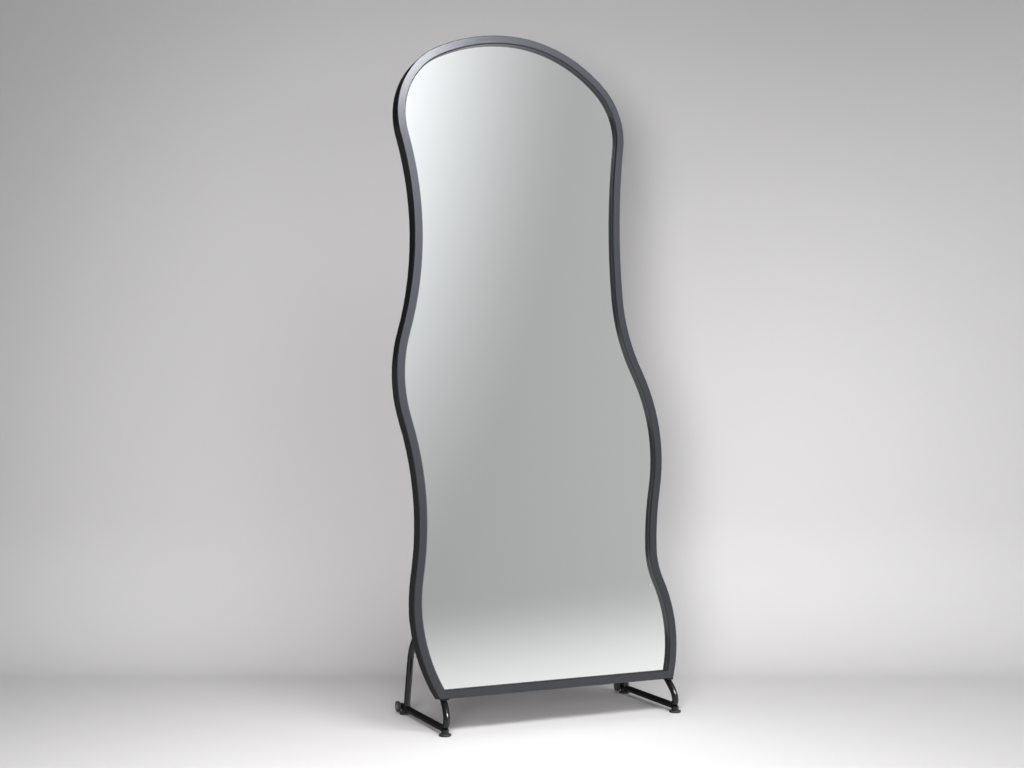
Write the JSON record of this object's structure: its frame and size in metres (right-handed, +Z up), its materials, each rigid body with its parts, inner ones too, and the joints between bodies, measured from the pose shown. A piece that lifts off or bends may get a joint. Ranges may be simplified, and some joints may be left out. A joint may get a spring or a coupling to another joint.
{
  "type": "full-length mirror",
  "caption": "Free-standing full-length mirror in a wavy dark grey frame, leaning back on two bent-tube legs with levelling feet and small transport rollers.",
  "frame": {"origin": "on the floor, below the middle of the whole part's width and depth", "axes": "+X to the right seen from the front, +Y to the back, +Z up; the glass faces -Y and leans back"},
  "size_m": [0.7129, 0.3048, 1.6989],
  "materials": {
    "frame_finish": "satin dark grey coating",
    "mirror_glass": "silvered, polished",
    "bedding_tape": "matte",
    "back_board": "smooth hardboard",
    "zinc_plate": "zinc plated",
    "screw_steel": "zinc plated",
    "black_paint": "gloss",
    "black_plastic": "satin",
    "roller_plastic": "satin",
    "roller_rubber": "matte"
  },
  "bodies": {
    "stand": {"frame_bow": "frame_finish", "bottom_rail": "frame_finish", "corner_key_left": "zinc_plate", "corner_key_right": "zinc_plate", "key_screws": "screw_steel", "mirror_glass": "mirror_glass", "glass_tape": "bedding_tape", "back_panel": "back_board", "panel_clips": "zinc_plate", "clip_screws": "screw_steel", "cross_bar": "black_paint", "bar_screws": "screw_steel", "strut_plate_left": "black_paint", "strut_plate_right": "black_paint", "plate_bolts": "screw_steel", "plate_nuts": "screw_steel", "leg_left": "black_paint", "leg_right": "black_paint", "leg_cap_left": "black_paint", "leg_cap_right": "black_paint", "runner_plug_left": "black_plastic", "runner_plug_right": "black_plastic"},
    "rollers_left": {"roller_axle_left": "screw_steel", "roller_hubs_left": "roller_plastic", "roller_tyres_left": "roller_rubber"},
    "rollers_right": {"roller_axle_right": "screw_steel", "roller_hubs_right": "roller_plastic", "roller_tyres_right": "roller_rubber"},
    "pad_front_left": {"glide_pad_front_left": "black_plastic"},
    "stem_front_left": {"glide_stem_front_left": "screw_steel"},
    "pad_front_right": {"glide_pad_front_right": "black_plastic"},
    "stem_front_right": {"glide_stem_front_right": "screw_steel"},
    "pad_rear_left": {"glide_pad_rear_left": "black_plastic"},
    "stem_rear_left": {"glide_stem_rear_left": "screw_steel"},
    "pad_rear_right": {"glide_pad_rear_right": "black_plastic"},
    "stem_rear_right": {"glide_stem_rear_right": "screw_steel"}
  },
  "joints": [
    {"name": "roller_spin_left", "type": "hinge", "parent": "stand", "child": "rollers_left", "pos_m": [-0.28063, 0.13912, 0.017], "axis": [1, 0, 0], "continuous": true},
    {"name": "roller_spin_right", "type": "hinge", "parent": "stand", "child": "rollers_right", "pos_m": [0.33738, 0.13912, 0.017], "axis": [1, 0, 0], "continuous": true},
    {"name": "foot_travel_front_left", "type": "slide", "parent": "stand", "child": "pad_front_left", "axis": [0, 0, -1], "range_m": [0, 0.008]},
    {"name": "foot_turn_front_left", "type": "hinge", "parent": "pad_front_left", "child": "stem_front_left", "pos_m": [-0.28063, -0.13787, 0.004], "axis": [0, 0, -1], "range_deg": [0, 2305]},
    {"name": "foot_travel_front_right", "type": "slide", "parent": "stand", "child": "pad_front_right", "axis": [0, 0, -1], "range_m": [0, 0.008]},
    {"name": "foot_turn_front_right", "type": "hinge", "parent": "pad_front_right", "child": "stem_front_right", "pos_m": [0.33738, -0.13787, 0.004], "axis": [0, 0, -1], "range_deg": [0, 2305]},
    {"name": "foot_travel_rear_left", "type": "slide", "parent": "stand", "child": "pad_rear_left", "axis": [0, 0, -1], "range_m": [0, 0.008]},
    {"name": "foot_turn_rear_left", "type": "hinge", "parent": "pad_rear_left", "child": "stem_rear_left", "pos_m": [-0.28063, 0.12212, 0.004], "axis": [0, 0, -1], "range_deg": [0, 2305]},
    {"name": "foot_travel_rear_right", "type": "slide", "parent": "stand", "child": "pad_rear_right", "axis": [0, 0, -1], "range_m": [0, 0.008]},
    {"name": "foot_turn_rear_right", "type": "hinge", "parent": "pad_rear_right", "child": "stem_rear_right", "pos_m": [0.33738, 0.12212, 0.004], "axis": [0, 0, -1], "range_deg": [0, 2305]}
  ],
  "couplings": [
    {"joint": "foot_turn_front_left", "follows": "foot_travel_front_left", "rad_per_m": 5026.5},
    {"joint": "foot_turn_front_right", "follows": "foot_travel_front_right", "rad_per_m": 5026.5},
    {"joint": "foot_turn_rear_left", "follows": "foot_travel_rear_left", "rad_per_m": 5026.5},
    {"joint": "foot_turn_rear_right", "follows": "foot_travel_rear_right", "rad_per_m": 5026.5}
  ]
}
